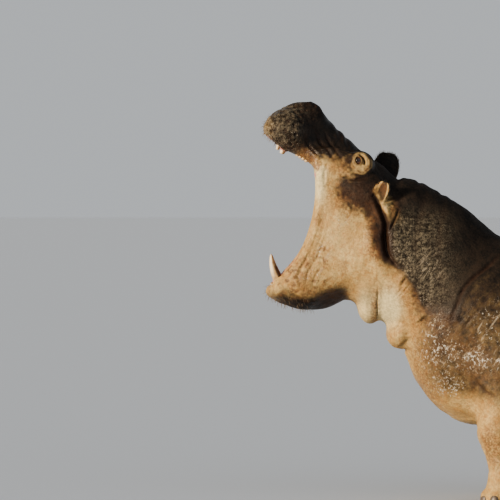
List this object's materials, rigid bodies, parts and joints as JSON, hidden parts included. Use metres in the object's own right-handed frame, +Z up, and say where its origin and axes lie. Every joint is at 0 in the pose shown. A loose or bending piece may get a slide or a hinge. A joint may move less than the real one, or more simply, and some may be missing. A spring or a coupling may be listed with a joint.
{
  "type": "hippopotamus",
  "caption": "Life-size hippopotamus standing still on four feet, neck raised and jaws gaping wide, with tusks, tongue, ears, eyes, toenails and tail.",
  "frame": {"origin": "on the floor under the middle of the animal's bounding box", "axes": "+Z up; +X along the body towards the tail, so the animal faces -X; its left side is at -Y"},
  "size_m": [3.2016, 1.0198, 2.3485],
  "materials": {
    "hide": "thick wrinkled bare skin, dark grey-brown above, tan and pinkish on cheeks, throat and folds, damp in places",
    "eye": "wet dark brown eyeball",
    "tooth": "stained ivory with fine lengthwise lines",
    "tongue": "wet pink, finely pebbled",
    "nail": "worn dark horn"
  },
  "bodies": {
    "root": {"head": "hide", "lower_jaw": "hide", "neck": "hide", "trunk": "hide", "tail": "hide", "fore_leg_left": "hide", "hind_leg_left": "hide", "ear_left": "hide", "eye_left": "eye", "lower_tusk_left": "tooth", "lower_incisor_left": "tooth", "upper_tusk_left": "tooth", "upper_incisor_left": "tooth", "fore_nail_left_1": "nail", "fore_nail_left_2": "nail", "fore_nail_left_3": "nail", "fore_nail_left_4": "nail", "hind_nail_left_1": "nail", "hind_nail_left_2": "nail", "hind_nail_left_3": "nail", "hind_nail_left_4": "nail", "fore_leg_right": "hide", "hind_leg_right": "hide", "ear_right": "hide", "eye_right": "eye", "lower_tusk_right": "tooth", "lower_incisor_right": "tooth", "upper_tusk_right": "tooth", "upper_incisor_right": "tooth", "fore_nail_right_1": "nail", "fore_nail_right_2": "nail", "fore_nail_right_3": "nail", "fore_nail_right_4": "nail", "hind_nail_right_1": "nail", "hind_nail_right_2": "nail", "hind_nail_right_3": "nail", "hind_nail_right_4": "nail", "tongue": "tongue"}
  },
  "joints": []
}
